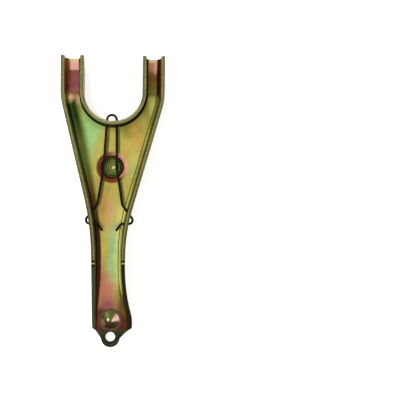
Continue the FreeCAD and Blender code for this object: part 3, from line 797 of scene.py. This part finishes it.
hollow_colour = lay(
    HOLLOW_SHADE,
    (ramp(tree, coords["X"], -2.0, 6.5), HOLLOW_RED),
    (lit_crescent, HOLLOW_LIT_CRESCENT),
    (ramp(tree, distance_from(0.8, -131.6), 4.2, 0.6, 0.0, 0.8), HOLLOW_HIGHLIGHT))
closed_colour = lay(
    closed_colour,
    (ring(from_pivot, *CREASE_RING), BULGE_CREASE),
    (ramp(tree, from_pivot, 12.6, 12.3), bulge_colour),
    (ramp(tree, from_cup, 9.6, 8.6), hollow_colour),
    (on_lug, lug_shade_colour))
print("both sides have", len(tree.nodes), "nodes")

# %% [markdown]
# ## Gloss of the zinc
# Zinc plate is satin: the grain of the rolled sheet scatters the light a little, and streaks from
# rolling run along the lever. Grain goes into a Bump node, and roughness follows the same grain, so
# that what is rough also looks dull. The outsides of the flanges wander from olive to tan.

# %% Finish the zinc
OUTSIDE_OLIVE, OUTSIDE_TAN = linear(142, 130, 66), linear(154, 124, 76)
outside_colour = lay(OUTSIDE_OLIVE, (ramp(tree, wander_noise.outputs["Fac"], 0.35, 0.65), OUTSIDE_TAN))
flank_colour = lay(outside_colour, (ramp(tree, nearest, 0.5, 0.9), wall_shade_colour))
colour = lay(flank_colour, (open_side, open_colour), (closed_side, closed_colour))
shade = both(
    tree, ramp(tree, marks["Cloud"], 0.3, 0.7, 0.93, 1.07),
    ramp(tree, marks["Streak"], 0.3, 0.7, 0.94, 1.06))
shaded = vector(tree, "SCALE", colour, Scale=shade)
roughness = ramp(tree, marks["Grain"], 0.3, 0.7, 0.28, 0.4)
bump = add(tree, "ShaderNodeBump", {
    "Strength": 0.08, "Distance": 0.08 * MM, "Height": marks["Grain"]})
shader = add(tree, "ShaderNodeBsdfPrincipled", {
    "Base Color": shaded, "Metallic": 0.6, "Roughness": roughness,
    "Specular IOR Level": 0.1, "Normal": bump.outputs[0]})
add(tree, "ShaderNodeOutputMaterial", {"Surface": shader.outputs[0]})
fork.data.materials[0] = zinc
print("zinc has", len(tree.nodes), "nodes")

# %% [markdown]
# ## Black spring wire
# The clip is bent from oil-tempered wire with a black gloss. Black needs highlights to read as
# round, so the colour stays dark and even while the roughness wanders a little.

# %% Spring wire material
WIRE_BLACK, WIRE_GREY = linear(8, 7, 8), linear(22, 20, 18)
wire = bpy.data.materials.new("black_spring_wire")
wire.use_nodes = True
tree = wire.node_tree
tree.nodes.clear()
where = add(tree, "ShaderNodeTexCoord").outputs
to_mm = vector(tree, "SCALE", where["Object"], Scale=1 / MM)
marks = use(tree, marks_tree, {
    "Place": to_mm, "Grain per mm": 2.0, "Cloud per mm": 0.3, "Stretch": (1, 1, 1)})
colour = lay(WIRE_BLACK, (ramp(tree, marks["Cloud"], 0.45, 0.75), WIRE_GREY))
roughness = ramp(tree, marks["Grain"], 0.3, 0.7, 0.25, 0.42)
bump = add(tree, "ShaderNodeBump", {
    "Strength": 0.1, "Distance": 0.05 * MM, "Height": marks["Grain"]})
shader = add(tree, "ShaderNodeBsdfPrincipled", {
    "Base Color": colour, "Metallic": 0.0, "Roughness": roughness,
    "Specular IOR Level": 0.12, "Normal": bump.outputs[0]})
add(tree, "ShaderNodeOutputMaterial", {"Surface": shader.outputs[0]})
clip.data.materials[0] = wire
print("wire has", len(tree.nodes), "nodes")

# %% [markdown]
# ## Floor and sky
# The part lies on a white table under a white sky. The floor is white to the camera and in
# reflections, and keeps the part's soft shadow. Its back is see-through, so that the closed side
# can be looked at from below.

# %% Floor
FLOOR_BELOW = 0.2 * MM
HALF_FLOOR = 1.5
floor_z = cad_low.z - FLOOR_BELOW
floor_corners = [
    (-HALF_FLOOR, -HALF_FLOOR, floor_z),
    (HALF_FLOOR, -HALF_FLOOR, floor_z),
    (HALF_FLOOR, HALF_FLOOR, floor_z),
    (-HALF_FLOOR, HALF_FLOOR, floor_z),
]
floor_mesh = bpy.data.meshes.new("floor")
floor_mesh.from_pydata(floor_corners, [], [(0, 1, 2, 3)])
floor = bpy.data.objects.new("floor", floor_mesh)
bpy.context.scene.collection.objects.link(floor)
print("floor at", round(floor_z / MM, 1), "mm")


# %% White table
def seen_ray(tree):
    """1 for what the camera sees, straight or in a mirror or through glass."""
    path = add(tree, "ShaderNodeLightPath").outputs
    mirrored = calc(tree, "MAXIMUM", path["Is Glossy Ray"], path["Is Transmission Ray"])
    return calc(tree, "MAXIMUM", path["Is Camera Ray"], mirrored)


TABLE_COLOUR, WHITE = (0.86, 0.86, 0.86, 1), (1, 1, 1, 1)
TABLE_GLOW = 0.64
paper = bpy.data.materials.new("white_table")
paper.use_nodes = True
tree = paper.node_tree
tree.nodes.clear()
diffuse = add(tree, "ShaderNodeBsdfDiffuse", {"Color": TABLE_COLOUR})
glow_strength = calc(tree, "MULTIPLY", seen_ray(tree), TABLE_GLOW)
glow = add(tree, "ShaderNodeEmission", {"Color": WHITE, "Strength": glow_strength})
front = add(tree, "ShaderNodeAddShader", {0: diffuse.outputs[0], 1: glow.outputs[0]})
underneath = add(tree, "ShaderNodeNewGeometry").outputs["Backfacing"]
clear = add(tree, "ShaderNodeBsdfTransparent")
one_sided = add(tree, "ShaderNodeMixShader", {0: underneath, 1: front.outputs[0], 2: clear.outputs[0]})
add(tree, "ShaderNodeOutputMaterial", {"Surface": one_sided.outputs[0]})
floor.data.materials.append(paper)
print("table has", len(tree.nodes), "nodes")

# %% Sky
SKY_LIGHT, SKY_SEEN = 0.45, 1.0
world = bpy.data.worlds.new("studio")
bpy.context.scene.world = world
world.use_nodes = True
tree = world.node_tree
tree.nodes.clear()
strength = ramp(tree, seen_ray(tree), 0.0, 1.0, SKY_LIGHT, SKY_SEEN)
sky = add(tree, "ShaderNodeBackground", {"Color": WHITE, "Strength": strength})
add(tree, "ShaderNodeOutputWorld", {"Surface": sky.outputs[0]})
print("sky has", len(tree.nodes), "nodes")

# %% [markdown]
# ## Lamps
# A small key lamp almost overhead, a little to the left, sets the wire's shadow close on its right.
# A larger lamp from the left and a large fill from the right open the walls. The key is kept out
# of reflections, so that no bright dot sits on the satin web.


# %% Three lamps
def lamp(name, place_m, size, watts):
    """Square area lamp aimed at the middle of the part, its place and size in metres."""
    data = bpy.data.lights.new(name, "AREA")
    data.size = size
    data.energy = watts
    item = bpy.data.objects.new(name, data)
    item.location = place_m
    middle = (cad_low + cad_high) / 2
    item.rotation_euler = (middle - Vector(place_m)).to_track_quat("-Z", "Y").to_euler()
    bpy.context.scene.collection.objects.link(item)
    print(name, "lamp of", watts, "W")
    return item


key = lamp("key", (-0.16, 0.06, 0.62), 0.05, 1.8)
key.visible_glossy = False
lamp("side", (-0.42, 0.36, 0.5), 0.22, 0.9)
lamp("fill", (0.6, -0.3, 0.6), 0.6, 0.9)

# %% [markdown]
# ## Camera
# The camera looks almost straight down on the table from a little under 40 cm. The part lies off
# the middle of the picture, which the shift of the lens gives without tilting the camera further.

# %% Camera
camera_data = bpy.data.cameras.new("camera")
camera_data.sensor_width = 36.0
camera_data.lens = 40.93
camera_data.shift_x = 0.1645
camera_data.shift_y = -0.0573
camera = bpy.data.objects.new("camera", camera_data)
camera.location = Vector((11.5, 11.8, 384.1)) * MM
roll = Matrix.Rotation(math.radians(-0.56), 3, "Z")
pitch = Matrix.Rotation(math.radians(2.94), 3, "X")
lean = Matrix.Rotation(math.radians(1.1), 3, "Y")
camera.rotation_euler = (roll @ pitch @ lean).transposed().to_euler()
bpy.context.scene.collection.objects.link(camera)
bpy.context.scene.camera = camera
bpy.context.scene.view_settings.view_transform = "Standard"
print("camera at", [round(v / MM, 1) for v in camera.location], "mm")
